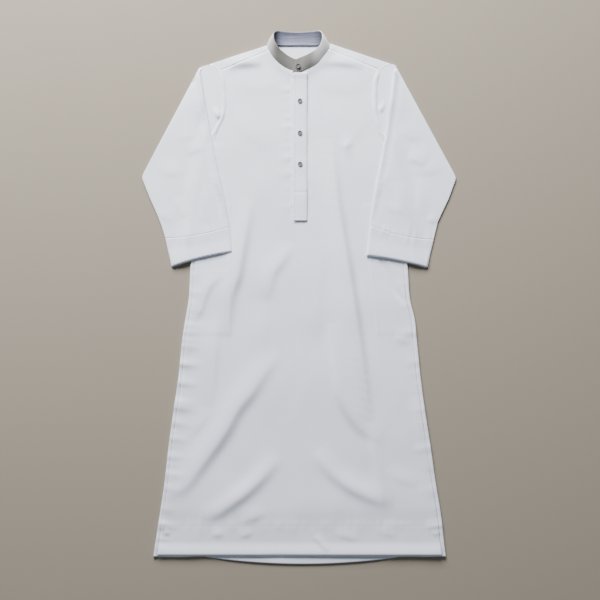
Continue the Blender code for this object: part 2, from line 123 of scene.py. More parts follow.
# each row: height, reach of the steep side, reach of the broad side, then the line of the steep side;
# the crest lies to the right of the way the line runs
frontFolds = (
    (7.5, 14, 34, ((-120, 260), (-133, 178), (-146, 100), (-155, 52), (-170, 9), (-178, -60), (-182, -110))),
    (2.6, 12, 40, ((-213, -62), (-215, -110), (-217, -160), (-222, -231), (-226, -290))),
    (3.8, 14, 30, ((-14, 136), (-24, 115), (-44, 84), (-62, 58), (-70, 28), (-76, -10))),
    (12.0, 13, 40, ((93, 420), (98, 350), (106, 270), (118, 191), (141, 52), (156, -45), (171, -147),
                    (187, -269), (196, -330))),
    (8.6, 18, 38, ((-48, -150), (-62, -176), (-88, -212), (-118, -258), (-156, -306), (-181, -352),
                   (-207, -392), (-232, -426), (-261, -466), (-282, -495), (-310, -519), (-342, -524),
                   (-366, -522))),
    (7.0, 17, 25, ((-44, -430), (-60, -449), (-89, -482), (-139, -529), (-173, -554), (-219, -584),
                   (-262, -594))),
    (2.2, 11, 20, ((-84, -572), (-97, -580), (-139, -596), (-160, -600))),
    (6.5, 14, 28, ((214, -390), (190, -375), (161, -358), (125, -314), (103, -270), (90, -210), (80, -140),
                   (73, -70))),
    (6.2, 16, 28, ((246, -562), (208, -548), (170, -533), (125, -509), (81, -474), (52, -440), (32, -412))),
    (4.2, 10, 22, ((220, -552), (208, -500), (199, -455), (188, -405), (181, -360))),
    (3.0, 10, 28, ((-190, 58), (-201, 52), (-231, 26), (-256, -37), (-281, -80))),
    (-4.8, 6, 7, ((276, -20), (251, 13), (230, 61), (213, 92), (207, 104))),
    (1.8, 8, 20, ((296, -124), (270, -120), (248, -108))),
    (6.2, 11, 26, ((-96, 612), (-130, 612), (-172, 606), (-188, 598))),
    (4.4, 10, 22, ((172, 603), (130, 611), (80, 613), (56, 606))),
    (1.1, 7, 12, ((128, 356), (120, 392), (111, 434))),
    (0.9, 6, 12, ((112, 372), (120, 400), (134, 428))),
    (1.3, 7, 12, ((146, 402), (118, 394), (98, 398))),
    (1.2, 16, 40, ((-40, 560), (-110, 545), (-176, 556))),
    (1.2, 16, 40, ((176, 548), (110, 540), (46, 556))),
    (1.2, 16, 40, ((-80, 380), (-140, 430), (-186, 480))),
    (1.0, 16, 40, ((186, 470), (150, 420), (120, 380))),
    (1.8, 12, 26, ((330, -420), (314, -366), (306, -320), (290, -262))),
    (1.6, 12, 26, ((340, -470), (322, -420), (300, -396))),
    (1.4, 16, 44, ((72, 150), (62, 40), (54, -100))),
    (1.2, 18, 44, ((-74, -20), (-88, -100), (-100, -170))),
    (1.4, 12, 26, ((-228, -300), (-262, -348), (-300, -384))),
    (1.6, 12, 24, ((312, -504), (262, -486), (230, -462))),
    (2.6, 5, 12, ((74, -676), (54, -654), (37, -633))),
    (1.5, 9, 16, ((156, -650), (132, -641), (108, -634), (92, -626))),
    (1.2, 9, 20, ((262, -634), (232, -632), (206, -622))),
    (1.9, 9, 16, ((-196, -628), (-216, -634), (-236, -630))),
    (1.8, 8, 16, ((-120, -622), (-140, -634), (-160, -636))),
    (1.2, 6, 12, ((376, -618), (364, -630), (348, -626))),
    (2.2, 7, 12, ((-338, -622), (-348, -628), (-362, -624))),
)
backFolds = (
    (1.6, 14, 34, ((-120, 420), (-136, 220), (-150, 60), (-190, -140))),
    (1.6, 14, 34, ((210, -260), (178, -60), (150, 160), (136, 380))),
    (2.2, 14, 34, ((310, -540), (236, -440), (150, -310), (60, -150))),
    (1.8, 14, 34, ((-90, -220), (-130, -380), (-170, -480), (-190, -560))),
)
# broad, faint unevenness of cloth that has been smoothed out by hand
frontWaves = columns(
    "length turn height shift",
    (310, 78, 0.55, 0.4), (230, 12, 0.35, 2.1), (170, 104, 0.28, 4.0), (131, 50, 0.16, 1.3),
    (97, 151, 0.12, 5.2),
)


def softPath(points, count=90):  # a smooth run through the given points
    points = np.asarray(points, float)
    gone = np.concatenate([[0], np.cumsum(np.hypot(*np.diff(points, axis=0).T))])
    rows = {"at": gone, "x": points[:, 0], "y": points[:, 1]}
    at = np.linspace(0, gone[-1], count)
    return readSmooth(rows, "at", "x", at), readSmooth(rows, "at", "y", at)


def ridges(rows, x, y):
    total = np.zeros(x.shape)
    for height, steep, broad, points in rows:
        px, py = softPath(points)
        reach = 2.6 * max(steep, broad)
        near = (x > px.min() - reach) & (x < px.max() + reach)
        near &= (y > py.min() - reach) & (y < py.max() + reach)
        if not near.any():
            continue
        dx, dy = x[near][:, None] - px, y[near][:, None] - py
        nearest = (dx * dx + dy * dy).argmin(1)
        pick = np.arange(len(nearest))
        tx, ty = np.gradient(px)[nearest], np.gradient(py)[nearest]
        size = np.hypot(tx, ty)
        dx, dy = dx[pick, nearest], dy[pick, nearest]
        crest = -(dy * tx - dx * ty) / size - 0.71 * steep
        beyond = np.where((nearest == 0) | (nearest == len(px) - 1), np.abs(dx * tx + dy * ty) / size, 0)
        side = np.where(crest > 0, broad, steep)
        taper = np.sin(math.pi * np.clip((nearest + 0.5) / len(px), 0, 1)) ** 0.9
        total[near] += height * taper * np.exp(-(crest / side) ** 2 - (beyond / 14) ** 2)
    return total


def waves(rows, x, y):
    total = np.zeros(x.shape)
    for length, turn, height, shift in zip(*(rows[name] for name in ("length", "turn", "height", "shift"))):
        along = (x * math.cos(math.radians(turn)) + y * math.sin(math.radians(turn))) * 2 * math.pi / length
        total += height * np.sin(along + shift + 0.9 * np.sin(along * 0.37 + 1.7 * shift))
    return total


def alongSeam(x, y, seam):  # distance run along a seam, and signed distance from it, for each point
    seam = np.asarray(seam, float)
    best = np.full(x.shape, 1e9)
    run, away, start = np.zeros(x.shape), np.full(x.shape, 1e9), 0.0
    for (ax, ay), (bx, by) in zip(seam[:-1], seam[1:]):
        dx, dy = bx - ax, by - ay
        length = math.hypot(dx, dy)
        part = np.clip(((x - ax) * dx + (y - ay) * dy) / length**2, 0, 1)
        far = np.hypot(x - ax - part * dx, y - ay - part * dy)
        sign = np.sign((y - ay) * dx - (x - ax) * dy)
        closer = far < best
        best = np.where(closer, far, best)
        run = np.where(closer, start + part * length, run)
        away = np.where(closer, far * np.where(sign == 0, 1, sign), away)
        start += length
    return run, away, start


# small folds that stand up across a seam, and the groove that the stitches pull along it
def puckers(x, y, seam, seed, spacing=16, height=0.5, length=16, width=5, groove=0.35, marks=()):
    total = np.zeros(x.shape)
    seam = np.asarray(seam, float)
    reach = 2.2 * length + 6
    near = (x > seam[:, 0].min() - reach) & (x < seam[:, 0].max() + reach)
    near &= (y > seam[:, 1].min() - reach) & (y < seam[:, 1].max() + reach)
    if not near.any():
        return total
    run, away, whole = alongSeam(x[near], y[near], seam)
    draw = random.Random(seed)
    part = np.zeros(run.shape)
    at = 0.0
    spots = []
    while at < whole:
        at += spacing * draw.uniform(0.55, 1.6)
        spots.append((at, height * draw.uniform(0.15, 1.0), draw.uniform(0.7, 1.3), draw.uniform(0.6, 1.4)))
    spots += [(spot, strong, 1.3, 1.5) for spot, strong in marks]
    for spot, high, wide, far in spots:
        part += high * np.exp(-((run - spot) / (width * wide)) ** 2) * np.exp(-(away / (length * far)) ** 2)
    part -= groove * np.exp(-(away / 2.2) ** 2)
    total[near] = part
    return total


# making cloth

made = {}


def newPiece(name, bm, look):
    mesh = bpy.data.meshes.new(name)
    bm.to_mesh(mesh)
    bm.free()
    mesh.materials.append(look)
    piece = bpy.data.objects.new(name, mesh)
    bpy.context.scene.collection.objects.link(piece)
    return piece


def makeSheet(name, grid, wall, look, ring=False, gone=None):
    # grid: rows of middle points; the flat grid is bent to them and Solidify gives the wall
    rows, stations = grid.shape[:2]
    bm = bmesh.new()
    bmesh.ops.create_grid(bm, x_segments=stations - 1, y_segments=rows - 1, size=1)
    for vert in bm.verts:
        station = round((vert.co.x + 1) / 2 * (stations - 1))
        row = round((vert.co.y + 1) / 2 * (rows - 1))
        vert.co = grid[row, station] * mm
    if gone is not None:
        bmesh.ops.delete(bm, geom=[f for f in bm.faces if gone(f.calc_center_median() / mm)], context="FACES")
    if ring:
        bmesh.ops.remove_doubles(bm, verts=bm.verts[:], dist=1e-6)
    piece = newPiece(name, bm, look)
    piece.data.shade_smooth()
    solid = piece.modifiers.new("wall", "SOLIDIFY")
    solid.thickness = wall * mm
    solid.offset = 0
    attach(piece, "root")
    made[name] = piece
    return piece


def arc(out, up, start, turn, steps=8, radius=None):
    radius = cloth["foldRadius"] if radius is None else radius
    angles = np.radians(start + turn * np.linspace(0, 1, steps + 1))
    return [(out + radius * math.cos(a), up + radius * math.sin(a)) for a in angles]


def between(a, b, steps):  # points from one to the other, without the ends
    return [(a[0] + (b[0] - a[0]) * k / steps, a[1] + (b[1] - a[1]) * k / steps) for k in range(1, steps)]


# materials


def fromHex(code):  # sRGB hex to the linear colour that a shader takes
    parts = [int(code[k:k + 2], 16) / 255 for k in (1, 3, 5)]
    return (*[c / 12.92 if c <= 0.04045 else ((c + 0.055) / 1.055) ** 2.4 for c in parts], 1.0)


def addNode(tree, kind, settings=None, inputs=None):
    node = tree.nodes.new("ShaderNode" + kind)
    for name, value in (settings or {}).items():
        setattr(node, name, value)
    for name, value in (inputs or {}).items():
        if isinstance(value, bpy.types.NodeSocket):
            tree.links.new(value, node.inputs[name])
        else:
            node.inputs[name].default_value = value
    return node


def newMaterial(name, **values):
    look = bpy.data.materials.new(name)
    look.use_nodes = True
    shader = look.node_tree.nodes["Principled BSDF"]
    for socket, value in values.items():
        shader.inputs[socket.replace("_", " ")].default_value = value
    return look, look.node_tree, shader


def wovenCloth(name, tint, shade, values, paintedLightEnds=None):
    # plain weave: threads over and under, drawn "warp" and "weft" mm apart,
    # which is coarser than the real 0.3 mm so that it shows
    look, tree, shader = newMaterial(
        name, Roughness=values["roughness"], Sheen_Weight=values["sheen"], Sheen_Roughness=0.5,
        Specular_IOR_Level=0.25,
    )
    place = addNode(tree, "TexCoord").outputs["Object"]
    period = 2 * math.pi / 20  # of a Wave texture of scale 1
    warp = addNode(tree, "TexWave", {"bands_direction": "X"}, {
        "Vector": place, "Scale": period / (values["warp"] * mm), "Distortion": 0.4})
    weft = addNode(tree, "TexWave", {"bands_direction": "Y"}, {
        "Vector": place, "Scale": period / (values["weft"] * mm), "Distortion": 0.4})
    weave = addNode(tree, "Math", {"operation": "MULTIPLY"}, {0: warp.outputs["Fac"], 1: weft.outputs["Fac"]})
    slubs = []
    for stretch in values["lines"]:  # thick and thin threads, along and across
        stretched = addNode(tree, "Mapping", None, {"Vector": place, "Scale": stretch})
        slubs.append(addNode(tree, "TexNoise", None, {
            "Vector": stretched.outputs["Vector"], "Scale": values["slub"], "Detail": 3.0, "Roughness": 0.6}))
    threads = addNode(tree, "Math", {"operation": "ADD"}, {
        0: slubs[0].outputs["Fac"], 1: slubs[-1].outputs["Fac"]})
    mottle = addNode(tree, "TexNoise", None, {
        "Vector": place, "Scale": 9.0, "Detail": 4.0, "Roughness": 0.55})
    halves = addNode(tree, "Math", {"operation": "MULTIPLY_ADD"}, {0: threads.outputs[0], 1: 0.38, 2: 0.12})
    both = addNode(tree, "Math", {"operation": "MULTIPLY_ADD"}, {
        0: mottle.outputs["Fac"], 1: 0.3, 2: halves.outputs[0]})
    tone = addNode(tree, "MapRange", None, {"Value": both.outputs[0], "From Min": 0.45, "From Max": 0.85})
    colour = addNode(tree, "Mix", {"data_type": "RGBA"}, {
        0: tone.outputs["Result"], 6: fromHex(shade), 7: fromHex(tint)})
    # painted light: this second colour stands in for light or shade towards both ends of the band, a painted
    # highlight on the grey collar and painted shade on the lavender band
    if paintedLightEnds:  # a second colour towards both ends of the band
        split = addNode(tree, "SeparateXYZ", None, {0: place})
        off = addNode(tree, "Math", {"operation": "SUBTRACT"}, {
            0: split.outputs["X"], 1: paintedLightEnds["middle"] * mm})
        far = addNode(tree, "Math", {"operation": "ABSOLUTE"}, {0: off.outputs[0]})
        part = addNode(tree, "MapRange", {"interpolation_type": "SMOOTHSTEP"}, {
            "Value": far.outputs[0], "From Min": paintedLightEnds["from"] * mm, "From Max": paintedLightEnds["to"] * mm})
        colour = addNode(tree, "Mix", {"data_type": "RGBA"}, {
            0: part.outputs["Result"], 6: colour.outputs[2], 7: fromHex(paintedLightEnds["colour"])})
    tree.links.new(colour.outputs[2], shader.inputs["Base Color"])
    relief = addNode(tree, "Math", {"operation": "MULTIPLY_ADD"}, {
        0: weave.outputs[0], 1: values["weaveDepth"], 2: threads.outputs[0]})
    bump = addNode(tree, "Bump", None, {
        "Height": relief.outputs[0], "Strength": values["bump"], "Distance": 0.0002})
    tree.links.new(bump.outputs["Normal"], shader.inputs["Normal"])
    return look


bothWays = ((60.0, 1400.0, 60.0), (1400.0, 60.0, 60.0))
whiteCloth = {"roughness": 0.92, "sheen": 0.08, "warp": 0.9, "weft": 0.9, "lines": bothWays,
              "slub": 1.0, "weaveDepth": 0.6, "bump": 0.25}
ribCloth = {"roughness": 0.95, "sheen": 0.05, "warp": 90.0, "weft": 1.6, "lines": bothWays[:1],
            "slub": 0.3, "weaveDepth": 1.2, "bump": 0.9}
collarCloth = {"roughness": 0.95, "sheen": 0.05, "warp": 0.9, "weft": 0.9, "lines": bothWays,
               "slub": 1.2, "weaveDepth": 0.8, "bump": 0.6}

# polyester-cotton, woven and pressed: matt, cool white, faint threads
white = wovenCloth("whitePolyCotton", "#E7ECF9", "#DEE4F2", whiteCloth)
# the same with warm grey dyed yarn: matt, slightly mottled; set darker as painted shade for the front, which
# faces away from the light, and paler towards the shoulders as a painted highlight, centred left of the
# middle so that the side away from the lamp is painted paler too
grey = wovenCloth("greyYarnDyedCottonWithPaintedLight", "#85847F", "#74736F", collarCloth,
                  {"middle": -15, "from": 41, "to": 79, "colour": "#E6E3E6"})
# fine rib of lavender and grey yarn: faint lines along the band; the deeper grey at both ends is painted
# shade, where the standing collar shades the band's corners
lavender = wovenCloth("lavenderGreyRibWithPaintedShade", "#999BB2", "#62647A", ribCloth,
                      {"middle": -3, "from": 36, "to": 70, "colour": "#55555D"})
# spun polyester thread: slightly shiny beside the cloth, a shade darker so that the stitches show
whiteThread, _, _ = newMaterial(
    "spunPolyesterThread", Base_Color=fromHex("#C6CAD2"), Roughness=0.7, Sheen_Weight=0.1)
# the same thread in a lighter grey, over the buttons' bridges, so that the buttons' middles show lighter than
# their rims
greyThread, _, _ = newMaterial(
    "greyPolyesterThread", Base_Color=fromHex("#96969A"), Roughness=0.6, Sheen_Weight=0.1)
# cast polyester, tumbled: dark grey, satin, with a faint clear gloss on the rim
buttonLook, _, _ = newMaterial(
    "castPolyesterGrey", Base_Color=fromHex("#585960"), Roughness=0.62, Coat_Weight=0.03,
    Coat_Roughness=0.2)
# warm grey paper under the garment: matt, takes the shadows and shows no grain
paper, _, _ = newMaterial("paperBackdrop", Base_Color=fromHex("#8C8478"), Roughness=0.95)

print("materials made")

# back panel

backPanel = {"flatSteps": 64, "rows": 230, "lipSteps": 6, "hemBow": 262}


def sideLip(y):
    return np.interp(y, (395, 425), (cloth["lip"], cloth["lipArmhole"]))


def sideSeam(edge, inset):  # seam that shows inside the side edge, hem to armpit
    heights = np.linspace(hemEdge, cloth["armpit"], 40)
    sign = 1 if edge == "right" else -1
    return np.stack([bodySide(heights, edge) + sign * inset, heights], axis=1)


# puckers that stand out along the side seams: place along the seam from the hem, height
sidePuckers = {
    "right": ((86, 2.2), (222, 2.2), (268, 1.9), (316, 2.2), (357, 1.9), (399, 3.2), (414, 2.8),
              (466, 2.2), (516, 2.4), (562, 3.0), (580, 2.8), (600, 3.2), (618, 2.4), (660, 1.2)),
    "left": ((84, 1.6), (180, 0.8), (290, 0.9), (395, 0.7), (520, 0.9), (600, 1.2)),
}


def sideRelief(x, y):
    total = np.zeros(x.shape)
    for seed, edge in enumerate(("right", "left")):
        total += puckers(x, y, sideSeam(edge, 11), 11 + seed, 23, 1.1 - 0.5 * seed, 21, 7, 0.2,
                         sidePuckers[edge])
    return total


def buildBack():
    v = np.linspace(0, 1, backPanel["rows"])
    heights = np.interp(v, (0, 0.12, 1), (hemEdge, hemStitch + 12, cloth["yokeSeamBack"] - 0.4))
    wall, radius = cloth["wall"], cloth["foldRadius"]
    reach = radius + wall / 2
    lines = []
    for y in heights:
        right, left, lip = float(bodySide(y, "right")), float(bodySide(y, "left")), float(sideLip(y))
        up = wall / 2 + 0.1 + radius
        foldRight, foldLeft = arc(right + reach, up, 90, 180), arc(left - reach, up, -90, 180)
        line = [*between((right + lip + 5, up + radius), foldRight[0], backPanel["lipSteps"]), *foldRight]
        line += between(foldRight[-1], foldLeft[0], backPanel["flatSteps"])
        line += [*foldLeft, *between(foldLeft[-1], (left - lip - 5, up + radius), backPanel["lipSteps"])]
        drop = cloth["backHemDrop"] * smoothStep((hemEdge + 2 * cloth["hemDepth"] - y) / cloth["hemDepth"])
        bow = backPanel["hemBow"]
        lines.append([(x, y - drop * max(0, 1 - ((x - 10) / bow) ** 2), z) for x, z in line])
    grid = np.array(lines)
    x, y, z = grid[..., 0], grid[..., 1], grid[..., 2]
    upper = smoothStep((z - radius) / radius)
    inner = (np.abs(x) < np.minimum(np.abs(bodySide(y, "right")), np.abs(bodySide(y, "left"))) - 25)
    deep = np.minimum(np.abs(x - bodySide(y, "right")), np.abs(x - bodySide(y, "left")))
    grid[..., 2] -= upper * 2.0 * smoothStep((deep - 7) / 5)
    grid[..., 2] += (1 - upper) * 2.4 * smoothStep((hemEdge + 4 - y) / 14)
    edgeFolds = np.maximum(ridges(frontFolds, x, y) * (deep < 24), 0)
    under = 0.5 * np.maximum(ridges(backFolds, x, y), 0)
    grid[..., 2] += upper * (0.9 + sideRelief(x, y) + edgeFolds) + (1 - upper) * inner * under
    piece = makeSheet("backPanel", grid, wall, white)
    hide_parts("back_panel")


# front panel

frontPanel = {"across": 196, "rows": 236, "slitEnd": 285, "slitHalf": 2.2, "top": 598}


# bags between front and back: their ends, the line sewn across them, and their inner edges
pocket = {"low": -98.0, "high": 246.0, "line": 77.5, "right": (180.0, 180.0), "left": (205.0, 168.0)}


def pocketEdge(name, y):  # distance from the middle to a bag's inner edge
    return np.interp(y, (pocket["low"], pocket["high"]), pocket[name])


def pocketRelief(x, y):  # the bag's edges press through the front
    total = np.zeros(x.shape)
    for edge, sign in (("right", -1), ("left", 1)):
        innerX = sign * pocketEdge(edge, y) + (0.3 if edge == "right" else 0.0)
        inside = smoothStep((sign * (x - innerX)) / 3.0)
        tall = smoothStep((y - pocket["low"] + 1) / 3.0) * smoothStep((pocket["high"] + 2 - y) / 4.0)
        total += 0.55 * inside * tall
        total -= 0.4 * inside * tall * np.exp(-((y - pocket["line"]) / 2.0) ** 2)
        total += 0.35 * inside * np.exp(-((y - pocket["line"] + 5.5) / 5.0) ** 2)
        total += 0.35 * tall * np.exp(-((sign * (x - innerX) - 3.5) / 2.5) ** 2)
    return total


hemLine = np.array([(-392.0, hemStitch), (394.0, hemStitch)])
placketMiddle = (placketLow.x + placketHigh.x) / 2
neckLine = np.array([(-84, 656), (-73, 638), (-53.5, 616), (-32, 601), (-18, 592), (13, 592), (20, 600),
                     (47, 616), (65, 636), (79, 656)], float)


def neckSwell(x, y):
    return cloth["neckRoll"] * np.exp(-(alongSeam(x, y, neckLine)[1] / cloth["neckReach"]) ** 2)


def yokeSeam(side):
    if side < 0:
        return np.array([(-212.0, 598.0), (-150, 623.8), (-92.0, 648.0), (-78, 654)])
    return np.array([(211.0, 603.0), (150, 627), (79.5, 655.0)])


def armholeSeam(edge, shift=0.0):
    heights = np.linspace(cloth["armpit"], 615, 30)
    sign = 1 if edge == "right" else -1
    return np.stack([readSmooth(armhole, "y", edge, heights) + sign * shift, heights], axis=1)


def frontRelief(x, y):
    total = ridges(frontFolds, x, y) + waves(frontWaves, x, y) * smoothStep((600 - y) / 60)
    total += pocketRelief(x, y) + sideRelief(x, y) + neckSwell(x, y)
    total += 5.0 * smoothStep((hemStitch - 42 - y) / 34) - 0.12 * smoothStep((hemStitch + 2 - y) / 4)
    total -= 5.4 * smoothStep((hemEdge + 7 - y) / 7)
    total += 1.6 * smoothStep((y - hemStitch) / 46) * smoothStep((hemStitch + 150 - y) / 100)
    total += puckers(x, y, hemLine, 21, 17, 1.1, 17, 8, 0.15)
    for seed, side in enumerate((-1, 1)):
        total += puckers(x, y, yokeSeam(side), 31 + seed, 17, 0.25, 10, 5, 0.0)
    for seed, edge in enumerate(("right", "left")):
        total += puckers(x, y, armholeSeam(edge, 3), 41 + seed, 22, 0.3, 16, 6, 0.0)
    right = np.array([(placketLow.x - 9.5, 592.0), (placketLow.x - 9.5, 214)])
    left = np.array([(placketHigh.x + 8.0, 592.0), (placketHigh.x + 8.0, 214)])
    marks = ((44, 1.4), (144, 1.2), (224, 1.3), (266, 1.3))
    total += puckers(x, y, right, 51, 20, 0.8, 16, 6, 0.6, marks)
    total += puckers(x, y, left, 52, 30, 0.35, 12, 6, 0.45)
    return total


def buildFront():
    u = np.linspace(0, 1, frontPanel["across"])
    share = 0.65 * u + 0.35 * (0.5 - 0.5 * np.cos(np.pi * u))
    v = np.linspace(0, 1, frontPanel["rows"])
    heights = np.interp(v, (0, 0.14, 0.80, 1), (hemEdge, hemStitch + 20, 400, frontPanel["top"]))
    right = bodySide(heights, "right") + sideLip(heights) + 0.4
    left = bodySide(heights, "left") - sideLip(heights) - 0.4
    x = right[:, None] + (left - right)[:, None] * share[None, :]
    top = np.interp(x[-1], frontTop["x"], frontTop["y"]) - 0.4
    lift = smoothStep((heights - cloth["armpit"]) / (frontPanel["top"] - cloth["armpit"]))
    y = heights[:, None] + (top - frontPanel["top"])[None, :] * lift[:, None]
    y += (0.9 * np.sin(x / 47) + 0.7 * np.sin(x / 21 + 1)) * smoothStep((hemEdge + 30 - y) / 30)
    level = cloth["level"] + cloth["wall"] / 2 + 0.3
    grid = np.stack([x, y, level + frontRelief(x, y)], axis=2)
    grid[..., 2] = np.maximum(grid[..., 2], 2.4)

    def slit(centre):
        return abs(centre.x - placketMiddle) < frontPanel["slitHalf"] and centre.y > frontPanel["slitEnd"]

    piece = makeSheet("frontPanel", grid, cloth["wall"], white, gone=slit)
    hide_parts("front_panel")


# pocket bags, between front and back


def buildPockets():
    for name, sign in (("right", -1), ("left", 1)):
        heights = np.linspace(pocket["low"], pocket["high"], 80)
        outer = np.abs(bodySide(heights, name)) - 6
        inner = pocketEdge(name, heights)
        part = np.linspace(0, 1, 30)
        x = sign * (inner[:, None] + (outer - inner)[:, None] * part)
        y = np.repeat(heights[:, None], len(part), axis=1)
        z = 1.5 + 0.6 + 0.15 * np.sin(x / 17) * np.sin(y / 23)
        piece = makeSheet("pocket" + name.capitalize(), np.stack([x, y, z], axis=2), cloth["wall"], white)
        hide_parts("pocket_" + name)


# yoke

yoke = {"across": 210, "backSteps": 29, "frontSteps": 14, "right": -236.5, "wide": 473.5}


def buildYoke():
    u = np.linspace(0, 1, yoke["across"])
    edgeX = yoke["right"] + yoke["wide"] * u
    wall, radius = cloth["wall"], cloth["foldRadius"]
    reach = radius + wall / 2
    up = wall / 2 + 0.1 + radius
    level = cloth["level"] + wall / 2 + 0.5
    lines = []
    for x, part in zip(edgeX, u):
        y = float(np.interp(x, shoulder["x"], shoulder["y"]))
        onRight, onLeft = smoothStep((-79 - x) / 6), smoothStep((x - 72) / 6)
        endX = x + onRight * (np.interp(x, (-236.5, -85.5), (-212, -81)) - x)
        endX += onLeft * (np.interp(x, (79, 237), (78, 211.5)) - x)
        seamY = float(np.interp(endX, frontTop["x"], frontTop["y"]))
        if onRight > 0 or onLeft > 0:
            seamY = min(seamY + 30 * (1 - max(onRight, onLeft)), y - 5)
        else:
            seamY = y - 5
        neck = 1 - max(onRight, onLeft)  # inside the collar it lies flat, its edge under the band
        turn = y - reach
        line = []
        for rise in np.linspace(0, 1, yoke["backSteps"] + 1)[:-1]:
            back = cloth["yokeSeamBack"] + (turn - cloth["yokeSeamBack"]) * rise
            sideY = cloth["yokeSeamBack"] + (614.9 - cloth["yokeSeamBack"]) * rise
            right, left = (float(readSmooth(armhole, "y", edge, sideY)) for edge in ("right", "left"))
            line.append((right + (left - right) * part, back, wall / 2 + 0.1))
        curl = radius * (1 - 0.85 * neck)
        rise = wall / 2 + 0.1 + curl
        line += [(x, out, high) for out, high in arc(turn, rise, -90, 180, radius=curl)]
        lie = level * (1 - neck) + 1.2 * neck
        for k in range(1, yoke["frontSteps"] + 1):
            step = k / yoke["frontSteps"]
            high = rise + curl + (lie - rise - curl) * step
            line.append((x + (endX - x) * step, turn + (seamY - turn) * step, high))
        lines.append(line)
    grid = np.array(lines).transpose(1, 0, 2)
    x, y = grid[..., 0], grid[..., 1]
    upper = smoothStep((grid[..., 2] - radius) / radius)
    relief = 0.3 * np.sin(x / 31 + 0.4) * np.sin(y / 23)
    relief = relief + ridges(frontFolds, x, y) + neckSwell(x, y)
    for side in (-1, 1):
        relief += puckers(x, y, yokeSeam(side), 35 + side, 17, 0.3, 9, 5, 0.0)
    grid[..., 2] += upper * relief
    piece = makeSheet("shoulderYoke", grid, wall, white)
    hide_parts("yoke")


# sleeves and cuffs

sleeveCuts = {
    "right": {
        "side": -1,
        "inner": columns(
            "y out", (606, 264), (602, 263.5), (504, 247.5), (446, 236.5), (420, 232), (402, 228),
            (358.5, 220), (297, 207), (249, 196), (192, 185.6), (184.3, 185.4), (119.3, 176)),
        "outer": columns(
            "y out", (615.4, 237), (606, 264.7), (330, 410.6), (322, 414), (316, 415.4), (310, 414.4),
            (300, 410.8), (258, 394), (218, 376), (187, 364), (155.3, 354.3), (126, 348), (79.5, 337.6)),
        "seam": (184.3, 155.3), "end": (119.3, 79.5), "sag": 6.0, "bow": -5.0,
    },
    "left": {
        "side": 1,
        "inner": columns(
            "y out", (613, 252.5), (611, 252), (518.5, 240.5), (447, 229.5), (420, 226), (402, 221.5),
            (363, 215.5), (301.5, 202.5), (240, 193.5), (189.5, 187), (109, 177.3)),
        "outer": columns(
            "y out", (618, 237.2), (613, 254.7), (328, 409.3), (320, 413), (314, 414.6), (307, 413.4),
            (298, 410), (260, 396), (222, 378), (198, 367), (152, 356), (115, 347), (77.4, 339.7)),
        "seam": (189.5, 152), "end": (109, 77.4), "sag": 9.0, "bow": -4.0,
    },
}
sleeve = {
    "seamOver": 4.5, "seamRise": 0.5,            # cloth past the armhole's seam, and how far it stands up
    "stripSteps": 16, "foldSteps": 8, "midSteps": 5, "topSteps": 74, "backSteps": 40,
    "upperRows": 80, "lowerRows": 110,
    "upperEnd": 431.0, "lowerStart": 429.5,      # the armhole's rows stop and the tube's rows start
    "lieFrom": 530.0, "lieLength": 100.0,        # heights over which the top comes down on the body
    "pressed": 0.45,                             # how much flatter the pleat is towards the armpit
    "lap": 4.0, "lapRise": 1.2,                  # the sleeve's own seam, hidden beside the inner fold
    "lapEnd": 6.5, "backEnd": 11.5,
    "bodyRise": 4.4, "overFrom": 58, "overLength": 44,  # from the body's height to the ground
}
# depth of the knife pleat under the sleeve's inner edge, at heights above the armpit
pleatDepth = columns(
    "y deep", (604, 0), (592, 6), (565, 12), (533, 17), (503, 18), (474, 14), (446, 9), (430, 5.2))

sleeveFolds = {
    "right": (
        (12.0, 9, 17, ((-206, 475), (-212, 474), (-219, 471))),
        (2.2, 8, 20, ((-204, 256), (-210, 270), (-226, 300), (-238, 330))),
        (2.6, 12, 30, ((-250, 392), (-270, 384), (-298, 372))),
        (1.8, 12, 30, ((-252, 440), (-286, 420), (-330, 412))),
        (1.8, 8, 18, ((-312, 206), (-318, 222), (-330, 262))),
        (2.0, 14, 34, ((-232, 560), (-252, 500), (-276, 430))),
        (1.6, 12, 26, ((-300, 326), (-340, 322), (-384, 336))),
        (1.6, 12, 26, ((-262, 196), (-258, 250), (-250, 300))),
        (1.4, 10, 22, ((-330, 196), (-356, 204), (-384, 222))),
        (1.2, 12, 26, ((-304, 236), (-300, 290), (-286, 330))),
    ),
    "left": (
        (8.0, 9, 17, ((222, 489), (214, 492), (208, 494))),
        (3.0, 11, 28, ((334, 344), (306, 356), (284, 364))),
        (1.9, 10, 22, ((314, 214), (312, 262), (314, 316))),
        (2.0, 8, 18, ((366, 194), (350, 198), (336, 204))),
        (1.8, 12, 30, ((330, 414), (290, 420), (256, 440))),
        (2.0, 14, 34, ((280, 424), (256, 500), (238, 570))),
        (1.6, 8, 18, ((240, 330), (226, 300), (212, 258))),
        (1.5, 12, 26, ((384, 336), (340, 326), (302, 330))),
        (1.5, 12, 26, ((258, 204), (256, 250), (250, 300))),
        (1.2, 8, 20, ((276, 220), (244, 226), (222, 246))),
    ),
}


def sleeveEdges(cut, yInner, yOuter):  # distances of the inner and the outer edge from the middle
    return float(read(cut["inner"], "y", "out", yInner)), float(read(cut["outer"], "y", "out", yOuter))


def overBody(out, y, side):  # middle height of a layer lying over the body's edge and down to the ground
    edge = abs(float(bodySide(y, "left" if side > 0 else "right")))
    rise = sleeve["bodyRise"] * smoothStep((edge + sleeve["overFrom"] - out) / sleeve["overLength"])
    return cloth["wall"] / 2 + 0.1 + rise


